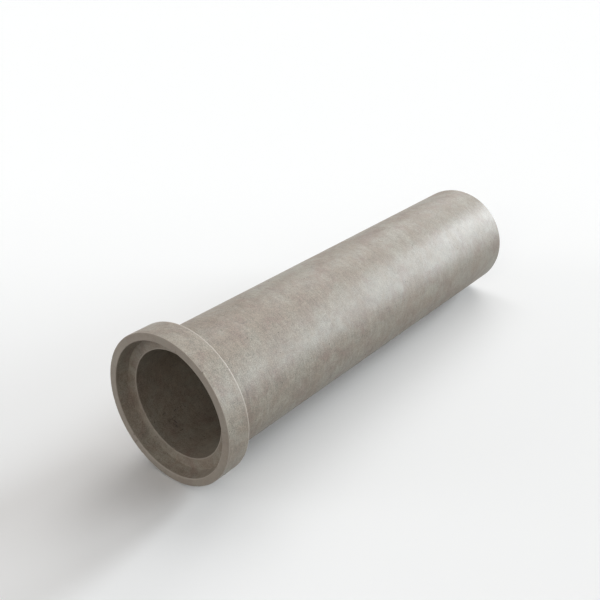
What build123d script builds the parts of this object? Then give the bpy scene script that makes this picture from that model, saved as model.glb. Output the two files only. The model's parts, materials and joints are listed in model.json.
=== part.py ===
"""A concrete culvert pipe with a bell at one end and a plain spigot at the other, in millimetres.

The pipe was cast in one piece, so it is one solid: a section turned about the pipe's axis.
It lies on level ground at Z = 0 with its axis near X and the bell at the -X end. The bell is
wider than the barrel, so the pipe rests on the bell's back rim and on the spigot's rim, and its
axis drops a little towards the spigot. The origin is at the bottom, in the middle of the length.
"""

import os
from math import atan2, cos, degrees, sin

from build123d import *

# The barrel: a round tube with a plain spigot end
bore_diameter = 1000.0
wall_thickness = 100.0
pipe_length = 5000.0  # from the bell's front face to the end of the spigot

# The bore opens out a little towards the socket, over the first part of its length
lead_in = 16.0  # how much wider the radius is where the bore meets the socket's shoulder
lead_in_length = 600.0

# The socket: the hollow in the bell that the next pipe's spigot goes into
socket_depth = 123.0
joint_gap = 19.0  # room round a spigot at the bottom of the socket, for the seal
socket_flare = 26.0  # how much wider the radius is at the mouth, so that a spigot finds its way in

# The bell: a wider ring round the first part of the barrel, with the socket inside it
bell_wall = 75.0  # the ring of concrete round the mouth
bell_length = 250.0

# Each edge that stands out comes from the mould with a small round on it. The bore's edge at the
# shoulder is sharper, because two parts of the mould meet there
arris_radius = 8.0
shoulder_arris_radius = 2.0

bore_radius = bore_diameter / 2
barrel_radius = bore_radius + wall_thickness
socket_radius = barrel_radius + joint_gap
mouth_radius = socket_radius + socket_flare
bell_radius = mouth_radius + bell_wall

# Both rims that touch the ground have the same round, so the line that they rest on runs
# parallel to the one through their sharp corners
rest_angle = atan2(bell_radius - barrel_radius, pipe_length - bell_length)
face_height = (
    (bell_radius - arris_radius) * cos(rest_angle)
    + (bell_length - arris_radius) * sin(rest_angle)
    + arris_radius
)
half_span = (
    pipe_length * cos(rest_angle) - (bell_radius - barrel_radius) * sin(rest_angle)
) / 2

# The section stands upright through the axis. Its own X runs along the axis from the middle of
# the bell's front face, and its own Y runs out from the axis
section_plane = Plane(
    origin=(-half_span, 0, face_height),
    x_dir=(cos(rest_angle), 0, -sin(rest_angle)),
    z_dir=(0, -1, 0),
)

with BuildPart() as pipe:
    with BuildSketch(section_plane):
        with BuildLine():
            FilletPolyline(
                (0, mouth_radius),
                (0, bell_radius),
                (bell_length, bell_radius),
                (bell_length, barrel_radius),
                (pipe_length, barrel_radius),
                (pipe_length, bore_radius),
                (socket_depth + lead_in_length, bore_radius),
                (socket_depth, bore_radius + lead_in),
                (socket_depth, socket_radius),
                radius=(
                    arris_radius,  # inside the mouth
                    arris_radius,  # bell, front rim
                    arris_radius,  # bell, back rim
                    0,  # where the bell's back meets the barrel
                    arris_radius,  # spigot, outer rim
                    arris_radius,  # spigot, inner rim
                    0,  # where the bore starts to open out
                    shoulder_arris_radius,  # edge of the bore at the socket's shoulder
                    0,  # corner at the bottom of the socket
                ),
                close=True,
            )
        make_face()
    revolve(axis=Axis(section_plane.origin, section_plane.x_dir))
pipe.part.label = "pipe"

os.makedirs("parts", exist_ok=True)
export_step(pipe.part, "parts/pipe.step")

bounds = pipe.part.bounding_box()
print(f"pipe: {pipe.part.volume / 1e9:.4f} cubic metres of concrete")
print(f"      lies at {degrees(rest_angle):.3f} degrees, from {bounds.min} to {bounds.max}")
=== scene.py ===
"""A concrete culvert pipe with a bell and a spigot, and the plain studio that it is shown in.

The pipe is one casting. Geometry Nodes turn its section about its axis, then work the surface as
casting and handling leave it: slightly wavy, pitted by air bubbles, scored here and there and
nicked along its arrises. Everything is in metres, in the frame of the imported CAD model, where the
pipe lies on the ground along X with its bell at the -X end.
"""

import json
from math import atan2, cos, pi, radians, sin

import bpy
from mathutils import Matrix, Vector


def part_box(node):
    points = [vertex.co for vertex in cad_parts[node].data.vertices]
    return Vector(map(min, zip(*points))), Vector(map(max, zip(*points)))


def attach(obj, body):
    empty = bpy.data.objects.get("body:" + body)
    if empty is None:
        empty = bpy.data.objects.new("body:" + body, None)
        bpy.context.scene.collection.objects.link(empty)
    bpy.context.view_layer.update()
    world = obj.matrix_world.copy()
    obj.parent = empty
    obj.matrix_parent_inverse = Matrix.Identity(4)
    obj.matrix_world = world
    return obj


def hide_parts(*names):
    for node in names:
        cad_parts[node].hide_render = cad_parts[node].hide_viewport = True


bl_info = {
    "name": "Concrete Culvert Pipe",
    "version": (1, 0, 0),
    "blender": (4, 5, 0),
    "location": "3D View > Sidebar > Culvert Pipe",
    "description": "Casts a bell and spigot pipe in concrete and sets up a studio round it",
    "category": "Add Mesh",
}

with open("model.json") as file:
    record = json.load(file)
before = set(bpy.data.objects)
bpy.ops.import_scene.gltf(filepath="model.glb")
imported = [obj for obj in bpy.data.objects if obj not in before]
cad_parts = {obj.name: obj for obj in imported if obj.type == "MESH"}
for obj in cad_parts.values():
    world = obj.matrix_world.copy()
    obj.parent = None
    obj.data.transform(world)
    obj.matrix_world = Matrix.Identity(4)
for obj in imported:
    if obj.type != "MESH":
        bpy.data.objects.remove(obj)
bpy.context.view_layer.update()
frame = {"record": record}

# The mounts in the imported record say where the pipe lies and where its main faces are
mounts = {mount["name"]: mount for mount in frame["record"]["mounts"]}
mouth_centre = Vector(mounts["socket"]["pos_m"])
pipe_axis = Vector(mounts["spigot"]["axis"])
axis_dip = atan2(-pipe_axis.z, pipe_axis.x)


def distance_along(mount_name):
    """How far a mount lies from the bell's front face, measured along the pipe's axis."""
    return (Vector(mounts[mount_name]["pos_m"]) - mouth_centre).dot(pipe_axis)


# The pipe's main sizes. Those that no mount states follow the CAD model
BORE_RADIUS = mounts["bore"]["dims"]["r_mm"] / 1000
BARREL_RADIUS = mounts["spigot"]["dims"]["r_mm"] / 1000
BELL_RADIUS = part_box("pipe")[1].y
BELL_LENGTH = 0.25
SOCKET_DEPTH = distance_along("socket_shoulder")
LEAD_IN = 0.016
LEAD_IN_LENGTH = 0.6


def radius_behind_shoulder(along):
    """The bore's radius where it narrows behind the socket's shoulder."""
    return BORE_RADIUS + LEAD_IN * (1 - (along - SOCKET_DEPTH) / LEAD_IN_LENGTH)


# How finely the parts of the mesh are drawn
ARRIS_STEPS = 5  # facets round the quarter circle of an arris
RIM_STEPS = 96  # straight runs in a circle along a rim
SCORE_STEPS = 40  # points along a score
ROUNDNESS = 2  # how often the faces of a bubble or a stone are divided
FLOOR_SIDES = 64
SHARPEST_BLEND = radians(38)  # facets that meet at more than this keep an edge between them
SLIVER = 0.0001  # points closer than this come together after the pits are cut

# The least and the most that chance gives along or about each of three axes
BUBBLE_SIZE = ((0.3, 0.3, 0.3), (1.0, 1.0, 1.0))  # against the largest pits
LISTED_SIZE = ((0.8, 0.8, 0.8), (1.4, 1.4, 1.4))  # the same, for the bubbles listed below
STONE_SIZE = ((0.4, 0.4, 0.4), (1.0, 1.0, 1.0))  # against the largest nicks
ANY_TURN = ((0.0, 0.0, 0.0), (2 * pi, 2 * pi, 2 * pi))

BUBBLE_GAP = 0.03  # least distance from one scattered bubble to the next
BUBBLE_DUST_AND_SHADE = 0.75  # how far dust and painted shade in a bubble hide the cement skin
NICK_DRIFT = 0.25  # how far round the rim a nick may lie from its even place, in radians
SCORE_WANDER = (0.0016, 0.008, 0.0)  # how widely a score strays in radius, in angle and lengthways
SCORE_BENDS = 25.0  # and about how often it bends in a metre

FRAME_WIDTH = 36.0  # of the camera, in millimetres
FLOOR_PALES = (-4.0, 6.0)  # from and to how far behind the pipe's middle the floor turns white

DAYLIGHT = (0.9, 0.96, 1.0)
NEUTRAL = (1.0, 1.0, 1.0)
WARM = (1.0, 0.95, 0.9)

# Soft lamps round the pipe: name, heading from +X towards +Y, height, width, strength and tint. The
# first two stand low beyond the spigot and draw the sheen along the barrel
LAMPS = (
    ("Window", radians(-10), radians(14), radians(12), 2.5, DAYLIGHT),
    ("Low side", radians(-40), radians(8), radians(30), 2.2, DAYLIGHT),
    ("Rear side", radians(22), radians(32), radians(30), 0.6, NEUTRAL),
    ("Back", radians(135), radians(12), radians(30), 0.47, NEUTRAL),
    ("Front", radians(200), radians(24), radians(30), 0.5, WARM),
    ("Top", radians(0), radians(58), radians(30), 0.42, NEUTRAL),
    ("Top rear", radians(60), radians(58), radians(30), 0.4, NEUTRAL),
)

# A place on the wall has a radius, an angle that counts from the bottom towards +Y, and a distance
# from the mouth. Something was dragged over the wall from the first place to the second, and cut
# this deep against the usual score
SCORES = (
    ((BARREL_RADIUS, radians(-132.7), 0.796), (BARREL_RADIUS, radians(-128.2), 1.363), 0.8),
    (
        (radius_behind_shoulder(0.158), radians(64.1), 0.158),
        (radius_behind_shoulder(0.325), radians(64.1), 0.325),
        2.4,
    ),
)

# Where bubbles gathered in the bore behind the socket: the angle in degrees, and the distance
SWARM = (
    (46.5, 0.288), (46.6, 0.307), (43.7, 0.406), (44.1, 0.421), (44.5, 0.455), (43.8, 0.482),
    (43.7, 0.5), (41.5, 0.524), (37.8, 0.329), (37.7, 0.343), (37.8, 0.36), (38.1, 0.374),
    (34.8, 0.345), (33.4, 0.346), (31.9, 0.348), (33.2, 0.32), (31.0, 0.322), (28.8, 0.324),
    (27.3, 0.325), (22.0, 0.326), (22.0, 0.345), (44.3, 0.166), (0.0, 0.427), (-3.2, 0.411),
)
SWARM_SINK = 0.002  # how far into the wall their centres lie

# Single bubbles outside. Their centres lie off the wall, so their pits are shallower
LONE_BUBBLES = (
    (BELL_RADIUS + 0.0035, radians(-135.7), 0.234),
    (BELL_RADIUS + 0.0025, radians(-136.3), 0.028),
    (BARREL_RADIUS + 0.0025, radians(-108.0), 1.529),
    (BARREL_RADIUS + 0.0025, radians(-67.0), 2.185),
)

# All of those, each as a place on the wall
LISTED_BUBBLES = [
    (radius_behind_shoulder(along) + SWARM_SINK, radians(angle), along) for angle, along in SWARM
]
LISTED_BUBBLES.extend(LONE_BUBBLES)


def colour(hex_code):
    """Turns a six-digit sRGB hex code into the linear colour that a shader takes."""
    channels = [int(hex_code[i:i + 2], 16) / 255 for i in (0, 2, 4)]
    linear = [c / 12.92 if c <= 0.04045 else ((c + 0.055) / 1.055) ** 2.4 for c in channels]
    return (*linear, 1.0)


class PipeSizes(bpy.types.PropertyGroup):
    """The casting's own sizes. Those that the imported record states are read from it."""

    bore_radius: bpy.props.FloatProperty(
        name="Bore Radius",
        description="Radius of the way through the pipe",
        default=BORE_RADIUS,
        unit="LENGTH",
    )
    barrel_radius: bpy.props.FloatProperty(
        name="Barrel Radius",
        description="Outer radius of the plain part of the pipe",
        default=BARREL_RADIUS,
        unit="LENGTH",
    )
    bell_radius: bpy.props.FloatProperty(
        name="Bell Radius",
        description="Outer radius of the bell",
        default=BELL_RADIUS,
        unit="LENGTH",
    )
    length: bpy.props.FloatProperty(
        name="Length",
        description="From the bell's front face to the end of the spigot",
        default=distance_along("spigot_face"),
        unit="LENGTH",
    )
    bell_length: bpy.props.FloatProperty(
        name="Bell Length",
        description="How far the bell reaches back from its front face",
        default=BELL_LENGTH,
        unit="LENGTH",
    )
    lead_in: bpy.props.FloatProperty(
        name="Lead-in",
        description="How much wider the bore's radius is where it meets the socket's shoulder",
        default=LEAD_IN,
        unit="LENGTH",
    )
    lead_in_length: bpy.props.FloatProperty(
        name="Lead-in Length",
        description="How far from the shoulder the bore has narrowed to its own radius",
        default=LEAD_IN_LENGTH,
        unit="LENGTH",
    )
    socket_depth: bpy.props.FloatProperty(
        name="Socket Depth",
        description="From the bell's front face to the shoulder that a spigot stops at",
        default=SOCKET_DEPTH,
        unit="LENGTH",
    )
    joint_gap: bpy.props.FloatProperty(
        name="Joint Gap",
        description="Room round a spigot at the bottom of the socket",
        default=0.019,
        unit="LENGTH",
    )
    socket_flare: bpy.props.FloatProperty(
        name="Socket Flare",
        description="How much wider the socket's radius is at its mouth",
        default=0.026,
        unit="LENGTH",
    )
    arris_radius: bpy.props.FloatProperty(
        name="Arris Radius",
        description="Round that the mould leaves on each edge that stands out",
        default=0.008,
        unit="LENGTH",
    )
    shoulder_arris_radius: bpy.props.FloatProperty(
        name="Shoulder Arris Radius",
        description="Round on the bore's edge at the shoulder, where two parts of the mould meet",
        default=0.002,
        unit="LENGTH",
    )


class CastFinish(bpy.types.PropertyGroup):
    """What casting, stripping and handling leave on the surface."""

    facets_around: bpy.props.IntProperty(
        name="Facets Around",
        description="Number of flats that the turned surface is made of",
        default=240,
    )
    facet_length: bpy.props.FloatProperty(
        name="Facet Length",
        description="Longest that a flat may be along the section",
        default=0.075,
        unit="LENGTH",
    )
    wave_depth: bpy.props.FloatProperty(
        name="Wave Depth",
        description="How far the cast wall sinks below its true form",
        default=0.0008,
        unit="LENGTH",
    )
    wave_length: bpy.props.FloatProperty(
        name="Wave Length",
        description="Distance from one slight swell of the wall to the next",
        default=0.45,
        unit="LENGTH",
    )
    pits_per_area: bpy.props.FloatProperty(
        name="Pits per Square Metre",
        description="How many air bubbles met the mould and left a pit",
        default=5.0,
    )
    pit_radius: bpy.props.FloatProperty(
        name="Pit Radius",
        description="Radius of the largest of the scattered pits",
        default=0.006,
        unit="LENGTH",
    )
    nick_spacing: bpy.props.FloatProperty(
        name="Nick Spacing",
        description="Distance from one nick to the next along an arris",
        default=0.42,
        unit="LENGTH",
    )
    nick_radius: bpy.props.FloatProperty(
        name="Nick Radius",
        description="Reach of the largest nicks from the sharp edge that the arris rounds off",
        default=0.013,
        unit="LENGTH",
    )
    score_depth: bpy.props.FloatProperty(
        name="Score Depth",
        description="How deep something cut that was dragged over the wall",
        default=0.002,
        unit="LENGTH",
    )
    seed: bpy.props.IntProperty(
        name="Seed",
        description="Picks another scatter of pits and nicks",
        default=11,
    )


class ConcreteColours(bpy.types.PropertyGroup):
    """The colours of the cement skin and of what shows through it."""

    pale: bpy.props.FloatVectorProperty(
        name="Pale Skin",
        description="Greenish grey patches where the cement skin is thick",
        subtype="COLOR",
        size=4,
        default=colour("928c80"),
    )
    warm: bpy.props.FloatVectorProperty(
        name="Warm Skin",
        description="Brownish patches where the skin is thin and the sand tints it",
        subtype="COLOR",
        size=4,
        default=colour("8b8073"),
    )
    stain: bpy.props.FloatVectorProperty(
        name="Stain",
        description="Pinkish brown stains from mould oil and rust",
        subtype="COLOR",
        size=4,
        default=colour("827268"),
    )
    # Real wear on the arrises. On the bell's back rim the same pale colour is also a painted
    # highlight
    worn_and_highlit: bpy.props.FloatVectorProperty(
        name="Worn Arris",
        description="Dry, pale concrete where handling has rubbed the arrises",
        subtype="COLOR",
        size=4,
        default=colour("b0a69b"),
    )
    pore: bpy.props.FloatVectorProperty(
        name="Pore",
        description="Dust and shade in the finest bubble holes",
        subtype="COLOR",
        size=4,
        default=colour("544e46"),
    )


class StudioSettings(bpy.types.PropertyGroup):
    """Where the camera stands, and how the studio is lit."""

    camera_place: bpy.props.FloatVectorProperty(
        name="Camera Place",
        description="Where the camera stands",
        default=(-6.29932, -4.46963, 4.90991),
        subtype="TRANSLATION",
        unit="LENGTH",
    )
    camera_heading: bpy.props.FloatProperty(
        name="Camera Heading",
        description="Turn from +Y towards +X",
        default=radians(51.5007),
        unit="ROTATION",
    )
    camera_dip: bpy.props.FloatProperty(
        name="Camera Dip",
        description="How far the camera looks down from the level",
        default=radians(28.4107),
        unit="ROTATION",
    )
    camera_lens: bpy.props.FloatProperty(
        name="Lens",
        description="Focal length in millimetres, on a frame 36 mm wide",
        default=50.0,
    )
    floor_radius: bpy.props.FloatProperty(
        name="Floor Radius",
        description="How far the pale floor reaches",
        default=60.0,
        unit="LENGTH",
    )
    floor_near: bpy.props.FloatVectorProperty(
        name="Floor",
        description="The pale floor in front of the pipe",
        subtype="COLOR",
        size=4,
        default=colour("f3f3f3"),
    )
    floor_far: bpy.props.FloatVectorProperty(
        name="Backdrop",
        description="The white that the floor runs into behind the pipe",
        subtype="COLOR",
        size=4,
        default=colour("ffffff"),
    )
    floor_bounce: bpy.props.FloatVectorProperty(
        name="Bounce",
        description="What the floor sends back up to the pipe",
        subtype="COLOR",
        size=4,
        default=colour("7c7c7c"),
    )
    room_light: bpy.props.FloatVectorProperty(
        name="Room Light",
        description="The even light from all round, which is slightly warm",
        subtype="COLOR",
        size=4,
        default=(0.307, 0.3, 0.29, 1.0),
    )


# How a tree's nodes are laid out in the editor
NODE_WIDTH = 220
NODE_HEIGHT = 300
NODES_IN_ROW = 12


def add_node(tree, kind, sockets=None, **settings):
    """Adds a node, sets its properties, then fills its sockets by name or number.

    A socket takes a value or, from another node, an output. A node stands for its first output
    that is in use. A list fills a socket that takes several links.
    """
    row, column = divmod(len(tree.nodes), NODES_IN_ROW)
    node = tree.nodes.new(kind)
    node.location = (NODE_WIDTH * column, -NODE_HEIGHT * row)
    for name, value in settings.items():
        setattr(node, name, value)
    for key, value in (sockets or {}).items():
        if isinstance(key, int):
            socket = node.inputs[key]
        else:
            socket = next(s for s in node.inputs if s.enabled and s.name == key)
        for source in value if isinstance(value, list) else [value]:
            if isinstance(source, bpy.types.Node):
                source = next(s for s in source.outputs if s.enabled)
            if isinstance(source, bpy.types.NodeSocket):
                tree.links.new(source, socket)
            else:
                socket.default_value = source
    return node


def own_properties(group):
    """Lists the sizes or colours of a group, without the properties that every group has."""
    return [p for p in group.bl_rna.properties if p.identifier not in ("rna_type", "name")]


def add_inputs(tree, groups):
    """Gives the tree a named input for each size in the groups, and returns what each is set to."""
    values = {}
    for group in groups:
        for prop in own_properties(group):
            kind = "NodeSocketInt" if prop.type == "INT" else "NodeSocketFloat"
            socket = tree.interface.new_socket(prop.name, in_out="INPUT", socket_type=kind)
            socket.description = prop.description
            values[socket.identifier] = getattr(group, prop.identifier)
    return values


def list_corners(tree, given):
    """Lists the section's corners, each with its distance along the axis, its radius and its round.

    They run from the mouth in through the socket and the bore, and back over the outside.
    """
    socket_radius = add_node(
        tree, "ShaderNodeMath", {0: given["Barrel Radius"], 1: given["Joint Gap"]}, operation="ADD"
    )
    mouth_radius = add_node(
        tree, "ShaderNodeMath", {0: socket_radius, 1: given["Socket Flare"]}, operation="ADD"
    )
    lead_in_radius = add_node(
        tree, "ShaderNodeMath", {0: given["Bore Radius"], 1: given["Lead-in"]}, operation="ADD"
    )
    lead_in_end = add_node(
        tree,
        "ShaderNodeMath",
        {0: given["Socket Depth"], 1: given["Lead-in Length"]},
        operation="ADD",
    )
    arris = given["Arris Radius"]
    return [
        (0.0, mouth_radius, arris),
        (given["Socket Depth"], socket_radius, 0.0),
        (given["Socket Depth"], lead_in_radius, given["Shoulder Arris Radius"]),
        (lead_in_end, given["Bore Radius"], 0.0),
        (given["Length"], given["Bore Radius"], arris),
        (given["Length"], given["Barrel Radius"], arris),
        (given["Bell Length"], given["Barrel Radius"], 0.0),
        (given["Bell Length"], given["Bell Radius"], arris),
        (0.0, given["Bell Radius"], arris),
    ]


def turn_section(tree, given, corners):
    """Draws the section, rounds its arrises and turns it about the local Z axis."""
    index = add_node(tree, "GeometryNodeInputIndex")
    places = add_node(tree, "GeometryNodeIndexSwitch", {"Index": index}, data_type="VECTOR")
    rounds = add_node(tree, "GeometryNodeIndexSwitch", {"Index": index}, data_type="FLOAT")
    for switch in (places, rounds):
        while len(switch.index_switch_items) < len(corners):
            switch.index_switch_items.new()
    for number, (along, radius, arris) in enumerate(corners):
        corner = add_node(tree, "ShaderNodeCombineXYZ", {"X": radius, "Y": along})
        tree.links.new(corner.outputs[0], places.inputs[str(number)])
        if arris:
            tree.links.new(arris, rounds.inputs[str(number)])

    # A profile's own X is measured out from the circle that it follows, and its Y points down
    circle_radius = add_node(tree, "ShaderNodeCombineXYZ", {"X": given["Barrel Radius"]})
    from_circle = add_node(
        tree, "ShaderNodeVectorMath", {0: places, 1: circle_radius}, operation="SUBTRACT"
    )
    in_profile = add_node(
        tree, "ShaderNodeVectorMath", {0: from_circle, 1: (1.0, -1.0, 0.0)}, operation="MULTIPLY"
    )
    points = add_node(tree, "GeometryNodeCurvePrimitiveCircle", {"Resolution": len(corners)})
    section = add_node(
        tree, "GeometryNodeSetPosition", {"Geometry": points, "Position": in_profile}
    )
    rounded = add_node(
        tree,
        "GeometryNodeFilletCurve",
        {"Curve": section, "Count": ARRIS_STEPS, "Radius": rounds},
        mode="POLY",
    )

    # Long runs are cut into facets, so that the wall can take its slight waves
    here = add_node(tree, "GeometryNodeInputPosition")
    after = add_node(tree, "GeometryNodeOffsetPointInCurve", {"Offset": 1})
    there = add_node(
        tree,
        "GeometryNodeFieldAtIndex",
        {"Value": here, "Index": after.outputs["Point Index"]},
        data_type="FLOAT_VECTOR",
    )
    run = add_node(tree, "ShaderNodeVectorMath", {0: here, 1: there}, operation="DISTANCE")
    cuts = add_node(
        tree, "ShaderNodeMath", {0: run, 1: given["Facet Length"]}, operation="DIVIDE"
    )
    divided = add_node(tree, "GeometryNodeSubdivideCurve", {"Curve": rounded, "Cuts": cuts})
    circle = add_node(
        tree,
        "GeometryNodeCurvePrimitiveCircle",
        {"Resolution": given["Facets Around"], "Radius": given["Barrel Radius"]},
    )
    return add_node(
        tree, "GeometryNodeCurveToMesh", {"Curve": circle, "Profile Curve": divided}
    )


def sink_waves(tree, given, body):
    """Lets the wall sink a little below its true form, in slow waves."""
    normal = add_node(tree, "GeometryNodeInputNormal")
    frequency = add_node(
        tree, "ShaderNodeMath", {0: 1.0, 1: given["Wave Length"]}, operation="DIVIDE"
    )
    swell = add_node(tree, "ShaderNodeTexNoise", {"Scale": frequency, "Detail": 1.0})
    depth = add_node(
        tree, "ShaderNodeMath", {0: swell, 1: given["Wave Depth"]}, operation="MULTIPLY"
    )
    inward = add_node(tree, "ShaderNodeMath", {0: depth, 1: -1.0}, operation="MULTIPLY")
    offset = add_node(
        tree, "ShaderNodeVectorMath", {0: normal, "Scale": inward}, operation="SCALE"
    )
    return add_node(tree, "GeometryNodeSetPosition", {"Geometry": body, "Offset": offset})


def place_on_wall(tree, measured):
    """Turns a radius, an angle and a distance from the mouth into a place."""
    parts = add_node(tree, "ShaderNodeSeparateXYZ", {"Vector": measured})
    arm = add_node(
        tree, "ShaderNodeCombineXYZ", {"X": parts.outputs["X"], "Z": parts.outputs["Z"]}
    )
    return add_node(
        tree,
        "ShaderNodeVectorRotate",
        {"Vector": arm, "Angle": parts.outputs["Y"]},
        rotation_type="Z_AXIS",
    )


def listed_places(tree):
    """Puts a point at each of the listed bubbles."""
    index = add_node(tree, "GeometryNodeInputIndex")
    listed = add_node(tree, "GeometryNodeIndexSwitch", {"Index": index}, data_type="VECTOR")
    while len(listed.index_switch_items) < len(LISTED_BUBBLES):
        listed.index_switch_items.new()
    for number, measured in enumerate(LISTED_BUBBLES):
        listed.inputs[str(number)].default_value = measured
    return add_node(
        tree,
        "GeometryNodePoints",
        {"Count": len(LISTED_BUBBLES), "Position": place_on_wall(tree, listed)},
    )


def scatter_bubbles(tree, given, body):
    """Puts squashed spheres where air bubbles met the mould, some by chance and some as listed."""
    scattered = add_node(
        tree,
        "GeometryNodeDistributePointsOnFaces",
        {
            "Mesh": body,
            "Distance Min": BUBBLE_GAP,
            "Density Max": given["Pits per Square Metre"],
            "Seed": given["Seed"],
        },
        distribute_method="POISSON",
    )
    sphere = add_node(
        tree,
        "GeometryNodeMeshIcoSphere",
        {"Radius": given["Pit Radius"], "Subdivisions": ROUNDNESS},
    )
    bubble = add_node(
        tree,
        "GeometryNodeStoreNamedAttribute",
        {"Geometry": sphere, "Name": "bubble_dust", "Value": BUBBLE_DUST_AND_SHADE},
        data_type="FLOAT",
        domain="FACE",
    )
    size, listed_size, spin = (
        add_node(
            tree,
            "FunctionNodeRandomValue",
            {"Min": least, "Max": most, "Seed": given["Seed"]},
            data_type="FLOAT_VECTOR",
        )
        for least, most in (BUBBLE_SIZE, LISTED_SIZE, ANY_TURN)
    )
    return [
        add_node(
            tree,
            "GeometryNodeInstanceOnPoints",
            {"Points": points, "Instance": bubble, "Rotation": spin, "Scale": scale},
        )
        for points, scale in ((scattered, size), (listed_places(tree), listed_size))
    ]


def draw_rims(tree, corners):
    """Draws a circle along each sharp edge that an arris rounds off."""
    rims = []
    for along, radius, arris in corners:
        if not arris:
            continue
        circle = add_node(
            tree, "GeometryNodeCurvePrimitiveCircle", {"Resolution": RIM_STEPS, "Radius": radius}
        )
        place = add_node(tree, "ShaderNodeCombineXYZ", {"Z": along})
        rims.append(
            add_node(tree, "GeometryNodeTransform", {"Geometry": circle, "Translation": place})
        )
    return add_node(tree, "GeometryNodeJoinGeometry", {"Geometry": rims})


def scatter_nicks(tree, given, rims):
    """Puts rough stones along the rims, to bite small nicks out of their arrises."""
    spots = add_node(
        tree,
        "GeometryNodeCurveToPoints",
        {"Curve": rims, "Length": given["Nick Spacing"]},
        mode="LENGTH",
    )
    drift = add_node(
        tree,
        "FunctionNodeRandomValue",
        {"Min": -NICK_DRIFT, "Max": NICK_DRIFT, "Seed": given["Seed"]},
        data_type="FLOAT",
    )
    here = add_node(tree, "GeometryNodeInputPosition")
    moved = add_node(
        tree, "ShaderNodeVectorRotate", {"Vector": here, "Angle": drift}, rotation_type="Z_AXIS"
    )
    scattered = add_node(
        tree, "GeometryNodeSetPosition", {"Geometry": spots, "Position": moved}
    )
    stone = add_node(
        tree,
        "GeometryNodeMeshIcoSphere",
        {"Radius": given["Nick Radius"], "Subdivisions": ROUNDNESS},
    )
    size, spin = (
        add_node(
            tree,
            "FunctionNodeRandomValue",
            {"Min": least, "Max": most, "Seed": given["Seed"]},
            data_type="FLOAT_VECTOR",
        )
        for least, most in (STONE_SIZE, ANY_TURN)
    )
    return add_node(
        tree,
        "GeometryNodeInstanceOnPoints",
        {"Points": scattered, "Instance": stone, "Rotation": spin, "Scale": size},
    )


def drag_scores(tree, given):
    """Draws the scores as thin, slightly wandering bars with a square section, to be cut out."""
    lines = []
    for start, end, deeper in SCORES:
        line = add_node(tree, "GeometryNodeCurvePrimitiveLine", {"Start": start, "End": end})
        lines.append(
            add_node(tree, "GeometryNodeSetCurveRadius", {"Curve": line, "Radius": deeper})
        )
    joined = add_node(tree, "GeometryNodeJoinGeometry", {"Geometry": lines})
    points = add_node(tree, "GeometryNodeResampleCurve", {"Curve": joined, "Count": SCORE_STEPS})

    # Each point still holds a radius, an angle and a distance
    here = add_node(tree, "GeometryNodeInputPosition")
    wander = add_node(tree, "ShaderNodeTexNoise", {"Vector": here, "Scale": SCORE_BENDS})
    centred = add_node(
        tree,
        "ShaderNodeVectorMath",
        {0: wander.outputs["Color"], 1: (0.5, 0.5, 0.5)},
        operation="SUBTRACT",
    )
    slight = add_node(
        tree, "ShaderNodeVectorMath", {0: centred, 1: SCORE_WANDER}, operation="MULTIPLY"
    )
    wandering = add_node(tree, "ShaderNodeVectorMath", {0: here, 1: slight}, operation="ADD")
    placed = add_node(
        tree,
        "GeometryNodeSetPosition",
        {"Geometry": points, "Position": place_on_wall(tree, wandering)},
    )
    section = add_node(
        tree,
        "GeometryNodeCurvePrimitiveCircle",
        {"Resolution": 4, "Radius": given["Score Depth"]},
    )
    return add_node(
        tree,
        "GeometryNodeCurveToMesh",
        {
            "Curve": placed,
            "Profile Curve": section,
            "Scale": add_node(tree, "GeometryNodeInputRadius"),
            "Fill Caps": True,
        },
    )


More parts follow.
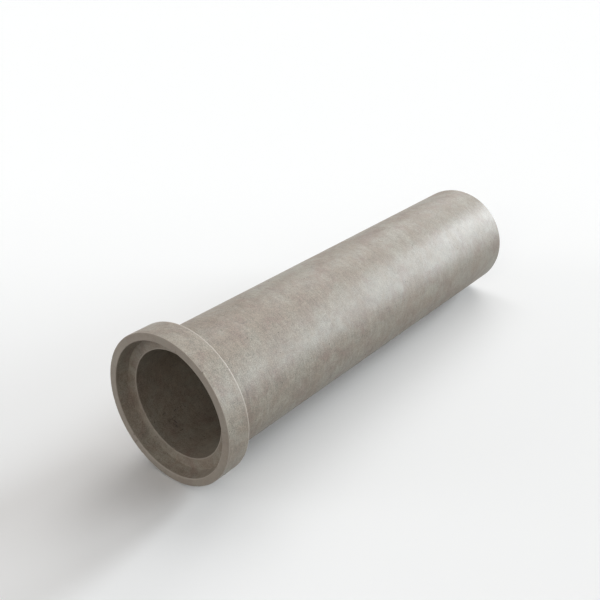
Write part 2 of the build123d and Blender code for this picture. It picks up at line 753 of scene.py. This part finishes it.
def casting_tree(groups, concrete):
    """Builds the tree that makes the casting, and returns it with the values of its inputs."""
    tree = bpy.data.node_groups.new("Concrete casting", "GeometryNodeTree")
    values = add_inputs(tree, groups)
    for name, kind, value in (
        ("Mouth Centre", "NodeSocketVector", mouth_centre),
        ("Axis Dip", "NodeSocketFloat", axis_dip),
        ("Concrete", "NodeSocketMaterial", concrete),
    ):
        socket = tree.interface.new_socket(name, in_out="INPUT", socket_type=kind)
        values[socket.identifier] = value
    tree.interface.new_socket("Casting", in_out="OUTPUT", socket_type="NodeSocketGeometry")

    given = {s.name: s for s in add_node(tree, "NodeGroupInput").outputs if s.name}
    corners = list_corners(tree, given)
    body = sink_waves(tree, given, turn_section(tree, given, corners))
    bubbles = scatter_bubbles(tree, given, body)
    rims = draw_rims(tree, corners)
    nicks = scatter_nicks(tree, given, rims)
    worked = add_node(
        tree,
        "GeometryNodeMeshBoolean",
        {"Mesh 1": body, "Mesh 2": [*bubbles, nicks, drag_scores(tree, given)]},
        operation="DIFFERENCE",
        solver="MANIFOLD",
    )

    merged = add_node(
        tree, "GeometryNodeMergeByDistance", {"Geometry": worked, "Distance": SLIVER}
    )

    # The concrete is rubbed pale near its arrises, so every point holds how far off they are
    rim_edges = add_node(tree, "GeometryNodeCurveToMesh", {"Curve": rims})
    nearest = add_node(
        tree, "GeometryNodeProximity", {"Geometry": rim_edges}, target_element="EDGES"
    )
    marked = add_node(
        tree,
        "GeometryNodeStoreNamedAttribute",
        {"Geometry": merged, "Name": "arris_distance", "Value": nearest.outputs["Distance"]},
        data_type="FLOAT",
        domain="POINT",
    )

    # The local Z axis turns down past +X by the pipe's dip, and the mouth goes to its place
    turn = add_node(tree, "ShaderNodeMath", {0: given["Axis Dip"], 1: pi / 2}, operation="ADD")
    turn_about_y = add_node(tree, "ShaderNodeCombineXYZ", {"Y": turn})
    laid = add_node(
        tree,
        "GeometryNodeTransform",
        {"Geometry": marked, "Translation": given["Mouth Centre"], "Rotation": turn_about_y},
    )

    # Facets that meet at a small angle blend into one round, and the others keep their edge
    angle = add_node(tree, "GeometryNodeInputMeshEdgeAngle")
    soft = add_node(
        tree, "ShaderNodeMath", {0: angle, 1: SHARPEST_BLEND}, operation="LESS_THAN"
    )
    faces_smooth = add_node(
        tree, "GeometryNodeSetShadeSmooth", {"Geometry": laid}, domain="FACE"
    )
    smooth = add_node(
        tree,
        "GeometryNodeSetShadeSmooth",
        {"Geometry": faces_smooth, "Shade Smooth": soft},
        domain="EDGE",
    )
    realized = add_node(tree, "GeometryNodeRealizeInstances", {"Geometry": smooth})
    cast = add_node(
        tree, "GeometryNodeSetMaterial", {"Geometry": realized, "Material": given["Concrete"]}
    )
    add_node(tree, "NodeGroupOutput", {"Casting": cast})
    return tree, values


def start_material(name):
    """Makes a material with an empty node tree, and returns both."""
    material = bpy.data.materials.new(name)
    material.use_nodes = True
    material.node_tree.nodes.clear()
    return material, material.node_tree


def blotch_skin(tree, colours, place):
    """Patches 0.4 m across, greenish grey where the skin is thick, and stains of 0.24 m on them.

    Returns the colour, and how thick the skin is.
    """
    clouds = add_node(
        tree,
        "ShaderNodeTexNoise",
        {"Vector": place, "Scale": 1 / 0.4, "Detail": 8.0, "Roughness": 0.74, "Distortion": 0.4},
    )
    thick = add_node(
        tree,
        "ShaderNodeMapRange",
        {"Value": clouds, "From Min": 0.38, "From Max": 0.64},
        interpolation_type="SMOOTHSTEP",
    )
    skin = add_node(
        tree,
        "ShaderNodeMix",
        {"Factor": thick, "A": colours.warm, "B": colours.pale},
        data_type="RGBA",
    )

    # The noise of the stains has a fourth dimension, so that it doesn't follow that of the patches
    drips = add_node(
        tree,
        "ShaderNodeTexNoise",
        {"Vector": place, "Scale": 1 / 0.24, "Detail": 8.0, "Roughness": 0.72, "Distortion": 0.8},
        noise_dimensions="4D",
    )
    stained = add_node(
        tree,
        "ShaderNodeMapRange",
        {"Value": drips, "From Min": 0.47, "From Max": 0.68, "To Max": 0.8},
        interpolation_type="SMOOTHSTEP",
    )
    stained_skin = add_node(
        tree, "ShaderNodeMix", {"Factor": stained, "A": skin, "B": colours.stain}, data_type="RGBA"
    )
    return stained_skin, thick


def grain_skin(tree, place):
    """Mottling of 90 mm and 35 mm, streaks 20 mm wide round the pipe, and sand.

    Sand grains are 1 to 2 mm across and are drawn 10 mm, so that they show from where the camera
    stands. Returns how light the skin is, about 1, and the sand by itself, about 0.
    """
    # The streaks' pattern is drawn out six times across the pipe's axis, so they run round the pipe
    round_the_pipe = add_node(
        tree, "ShaderNodeVectorMath", {0: place, 1: (1.0, 0.16, 0.16)}, operation="MULTIPLY"
    )
    shade = 1.0
    for vector, size, detail, swing in (
        (place, 0.09, 4.0, 0.4),
        (place, 0.035, 3.0, 0.42),
        (round_the_pipe, 0.02, 3.0, 0.44),
        (place, 0.01, 2.0, 1.25),
    ):
        noise = add_node(
            tree, "ShaderNodeTexNoise", {"Vector": vector, "Scale": 1 / size, "Detail": detail}
        )
        grain = add_node(tree, "ShaderNodeMath", {0: noise, 1: 0.5}, operation="SUBTRACT")
        shade = add_node(
            tree, "ShaderNodeMath", {0: grain, 1: swing, 2: shade}, operation="MULTIPLY_ADD"
        )
    return shade, grain


def prick_skin(tree, place):
    """Bubble holes of 1 to 3 mm, which are too fine for the mesh, gathered in swarms of 0.22 m.

    They are drawn up to 9 mm across, so that the largest show from where the camera stands.
    """
    swarm = add_node(
        tree, "ShaderNodeTexNoise", {"Vector": place, "Scale": 1 / 0.22, "Detail": 2.0}
    )
    reach = add_node(
        tree,
        "ShaderNodeMapRange",
        {"Value": swarm, "From Min": 0.5, "From Max": 0.72, "To Max": 0.2},
    )
    bubbles = add_node(tree, "ShaderNodeTexVoronoi", {"Vector": place, "Scale": 1 / 0.022})
    return add_node(
        tree, "ShaderNodeMath", {0: bubbles.outputs["Distance"], 1: reach}, operation="LESS_THAN"
    )


def rub_arrises(tree, place, sand):
    """Arrises rubbed pale over the round and a little beyond it, in an uneven line.

    On the bell's back rim the pale band reaches 6 mm further over the bell's side. There it is a
    painted highlight, which stands in for the sheen on a wider round.
    """
    from_arris = add_node(
        tree, "ShaderNodeAttribute", attribute_name="arris_distance"
    ).outputs["Fac"]
    across = add_node(
        tree, "ShaderNodeVectorMath", {0: place, 1: (0.0, 1.0, 1.0)}, operation="MULTIPLY"
    )
    from_axis = add_node(tree, "ShaderNodeVectorMath", {0: across}, operation="LENGTH")

    # 1 on the bell's side and 0 on the barrel
    on_bell = add_node(
        tree,
        "ShaderNodeMapRange",
        {"Value": from_axis, "From Min": BELL_RADIUS - 0.04, "From Max": BELL_RADIUS - 0.02},
    )

    # A painted highlight on the bell's back rim: nothing at the bell's front, and 6 mm less from
    # the arris towards its back rim
    along = add_node(tree, "ShaderNodeSeparateXYZ", {"Vector": place}).outputs["X"]
    painted_back_rim_highlight = add_node(
        tree,
        "ShaderNodeMapRange",
        {
            "Value": along,
            "From Min": BELL_LENGTH - 0.1,
            "From Max": BELL_LENGTH - 0.05,
            "To Max": -0.006,
        },
    )
    from_wear_and_highlight = add_node(
        tree, "ShaderNodeMath", {0: on_bell, 1: painted_back_rim_highlight, 2: from_arris}, operation="MULTIPLY_ADD"
    )

    # All is rubbed up to 4 mm from the sharp edge that the arris rounds off, and nothing from 11 mm
    # on. Sand moves that line by up to 6 mm either way
    uneven = add_node(
        tree, "ShaderNodeMath", {0: sand, 1: 0.012, 2: from_wear_and_highlight}, operation="MULTIPLY_ADD"
    )
    return add_node(
        tree,
        "ShaderNodeMapRange",
        {"Value": uneven, "From Min": 0.004, "From Max": 0.011, "To Min": 0.8, "To Max": 0.0},
    )


def concrete_material(colours):
    """Concrete vibrated in a steel mould and left as stripped.

    The mould gives it a close cement skin with a low sheen. The skin is blotched by how it dried
    and by mould oil, streaked round the pipe by the way the mould was wiped and turned, speckled
    by sand and pricked by fine bubbles, whose holes are darkened by dust and painted shade.
    Handling rubs the arrises pale, and on the bell's back rim a painted highlight widens that band.
    """
    material, tree = start_material("Mould-cast concrete")

    # The pattern's own X runs along the pipe from the mouth
    place = add_node(
        tree,
        "ShaderNodeMapping",
        {
            "Vector": add_node(tree, "ShaderNodeTexCoord").outputs["Object"],
            "Location": mouth_centre,
            "Rotation": (0.0, axis_dip, 0.0),
        },
        vector_type="TEXTURE",
    )
    skin, thick = blotch_skin(tree, colours, place)
    shade, sand = grain_skin(tree, place)
    shaded = add_node(tree, "ShaderNodeVectorMath", {0: skin, "Scale": shade}, operation="SCALE")

    # Dust and painted shade darken the fine holes as they do the larger ones, whose faces the mesh
    # marks
    hole = prick_skin(tree, place)
    pit_dust_and_shade = add_node(tree, "ShaderNodeAttribute", attribute_name="bubble_dust").outputs["Fac"]
    dusty_and_shaded = add_node(tree, "ShaderNodeMath", {0: hole, 1: pit_dust_and_shade}, operation="MAXIMUM")
    pricked = add_node(
        tree, "ShaderNodeMix", {"Factor": dusty_and_shaded, "A": shaded, "B": colours.pore}, data_type="RGBA"
    )
    # Arrises rubbed pale, and on the bell's back rim a wider pale band that is a painted highlight
    rubbed = rub_arrises(tree, place, sand)
    finish = add_node(
        tree, "ShaderNodeMix", {"Factor": rubbed, "A": pricked, "B": colours.worn_and_highlit}, data_type="RGBA"
    )

    # The thick skin is smoother, and every grain of sand breaks its sheen a little
    gloss = add_node(
        tree, "ShaderNodeMapRange", {"Value": thick, "To Min": 0.52, "To Max": 0.44}
    )
    rough = add_node(
        tree, "ShaderNodeMath", {0: sand, 1: 0.3, 2: gloss}, operation="MULTIPLY_ADD"
    )

    # What is light stands out a little, and the holes are sunk 2 mm
    dents = add_node(
        tree, "ShaderNodeMath", {0: hole, 1: -1.0, 2: shade}, operation="MULTIPLY_ADD"
    )
    relief = add_node(
        tree, "ShaderNodeBump", {"Strength": 0.5, "Distance": 0.002, "Height": dents}
    )
    surface = add_node(
        tree,
        "ShaderNodeBsdfPrincipled",
        {"Base Color": finish, "Roughness": rough, "IOR": 1.5, "Normal": relief},
    )
    add_node(tree, "ShaderNodeOutputMaterial", {"Surface": surface})
    return material


def seen_directly(tree):
    """1 for a ray from the camera, or one that a gloss or glass sends on, and 0 for any other."""
    path = add_node(tree, "ShaderNodeLightPath").outputs
    mirrored = add_node(
        tree,
        "ShaderNodeMath",
        {0: path["Is Camera Ray"], 1: path["Is Glossy Ray"]},
        operation="MAXIMUM",
    )
    return add_node(
        tree, "ShaderNodeMath", {0: mirrored, 1: path["Is Transmission Ray"]}, operation="MAXIMUM"
    )


def floor_material(studio):
    """Matt white studio sweep, which pales into the backdrop behind the pipe."""
    material, tree = start_material("Studio sweep")
    pales_from, pales_to = FLOOR_PALES
    away = (cos(pi / 2 - studio.camera_heading), sin(pi / 2 - studio.camera_heading), 0.0)
    behind = add_node(
        tree,
        "ShaderNodeVectorMath",
        {0: add_node(tree, "ShaderNodeTexCoord").outputs["Object"], 1: away},
        operation="DOT_PRODUCT",
    )
    depth = add_node(
        tree,
        "ShaderNodeMapRange",
        {"Value": behind, "From Min": pales_from, "From Max": pales_to},
        interpolation_type="SMOOTHSTEP",
    )
    look = add_node(
        tree,
        "ShaderNodeMix",
        {"Factor": depth, "A": studio.floor_near, "B": studio.floor_far},
        data_type="RGBA",
    )
    paint = add_node(
        tree,
        "ShaderNodeMix",
        {"Factor": seen_directly(tree), "A": studio.floor_bounce, "B": look},
        data_type="RGBA",
    )
    surface = add_node(tree, "ShaderNodeBsdfDiffuse", {"Color": paint})
    add_node(tree, "ShaderNodeOutputMaterial", {"Surface": surface})
    return material


def add_camera(scene, studio):
    """Stands the camera where the photograph was taken from."""
    data = bpy.data.cameras.new("Camera")
    data.lens = studio.camera_lens
    data.sensor_width = FRAME_WIDTH
    data.clip_end = 2 * studio.floor_radius
    camera = bpy.data.objects.new("Camera", data)
    camera.location = studio.camera_place
    camera.rotation_euler = (pi / 2 - studio.camera_dip, 0.0, -studio.camera_heading)
    scene.collection.objects.link(camera)
    scene.camera = camera


def add_room_light(scene, studio):
    """Lights the room evenly from all round, and shows it white."""
    world = bpy.data.worlds.new("Studio")
    world.use_nodes = True
    tree = world.node_tree
    tree.nodes.clear()
    light = add_node(
        tree,
        "ShaderNodeMix",
        {"Factor": seen_directly(tree), "A": studio.room_light, "B": (1.0, 1.0, 1.0, 1.0)},
        data_type="RGBA",
    )
    sky = add_node(tree, "ShaderNodeBackground", {"Color": light})
    add_node(tree, "ShaderNodeOutputWorld", {"Surface": sky})
    scene.world = world


def add_lamps(scene):
    """Hangs the soft lamps round the pipe."""
    for name, heading, height, width, strength, tint in LAMPS:
        data = bpy.data.lights.new(name, "SUN")
        data.energy = strength
        data.color = tint
        data.angle = width
        lamp = bpy.data.objects.new(name, data)
        lamp.rotation_euler = (pi / 2 - height, 0.0, heading + pi / 2)
        scene.collection.objects.link(lamp)


class CULVERT_OT_cast_pipe(bpy.types.Operator):
    """Cast the pipe's bell, barrel and spigot in one piece"""

    bl_idname = "culvert.cast_pipe"
    bl_label = "Cast Pipe"
    bl_options = {"REGISTER", "UNDO"}

    def execute(self, context):
        scene = context.scene
        concrete = concrete_material(scene.concrete_colours)
        tree, values = casting_tree((scene.pipe_sizes, scene.cast_finish), concrete)
        blank = bpy.data.objects.new("casting", bpy.data.meshes.new("casting"))
        scene.collection.objects.link(blank)
        nodes = blank.modifiers.new("Casting", "NODES")
        nodes.node_group = tree
        for identifier, value in values.items():
            nodes[identifier] = value
        weights = blank.modifiers.new("Flat faces stay flat", "WEIGHTED_NORMAL")
        weights.keep_sharp = True

        evaluated = blank.evaluated_get(context.evaluated_depsgraph_get())
        mesh = bpy.data.meshes.new_from_object(evaluated)
        bpy.data.objects.remove(blank)
        if not mesh.polygons:
            raise RuntimeError("The casting came out empty")
        mesh.name = "pipe_casting"
        casting = bpy.data.objects.new("pipe_casting", mesh)
        scene.collection.objects.link(casting)
        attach(casting, "root")
        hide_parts("pipe")
        return {"FINISHED"}


class CULVERT_OT_set_stage(bpy.types.Operator):
    """Set up the floor, the light and the camera"""

    bl_idname = "culvert.set_stage"
    bl_label = "Set Stage"
    bl_options = {"REGISTER", "UNDO"}

    def execute(self, context):
        scene = context.scene
        studio = scene.studio_settings
        add_camera(scene, studio)
        add_room_light(scene, studio)
        add_lamps(scene)
        bpy.ops.mesh.primitive_circle_add(
            vertices=FLOOR_SIDES,
            radius=studio.floor_radius,
            fill_type="NGON",
            location=(0.0, 0.0, 0.0),
        )
        floor = context.object
        floor.name = "studio_floor"
        floor.data.materials.append(floor_material(studio))
        scene.view_settings.view_transform = "Standard"
        return {"FINISHED"}


class CULVERT_PT_sidebar(bpy.types.Panel):
    """Lists the pipe and its stage in the sidebar"""

    bl_idname = "CULVERT_PT_sidebar"
    bl_label = "Culvert Pipe"
    bl_space_type = "VIEW_3D"
    bl_region_type = "UI"
    bl_category = "Culvert Pipe"

    def draw(self, context):
        for operator in OPERATORS:
            self.layout.operator(operator.bl_idname)
        for name in SETTINGS:
            group = getattr(context.scene, name)
            box = self.layout.box()
            for prop in own_properties(group):
                box.prop(group, prop.identifier)


OPERATORS = (CULVERT_OT_cast_pipe, CULVERT_OT_set_stage)
SETTINGS = {
    "pipe_sizes": PipeSizes,
    "cast_finish": CastFinish,
    "concrete_colours": ConcreteColours,
    "studio_settings": StudioSettings,
}


def register():
    for group in SETTINGS.values():
        bpy.utils.register_class(group)
    for name, group in SETTINGS.items():
        setattr(bpy.types.Scene, name, bpy.props.PointerProperty(type=group))
    for operator in OPERATORS:
        bpy.utils.register_class(operator)
    bpy.utils.register_class(CULVERT_PT_sidebar)


def unregister():
    bpy.utils.unregister_class(CULVERT_PT_sidebar)
    for operator in reversed(OPERATORS):
        bpy.utils.unregister_class(operator)
    for name, group in SETTINGS.items():
        delattr(bpy.types.Scene, name)
        bpy.utils.unregister_class(group)


def main():
    register()
    bpy.ops.culvert.cast_pipe()
    bpy.ops.culvert.set_stage()


if __name__ == "__main__":
    main()
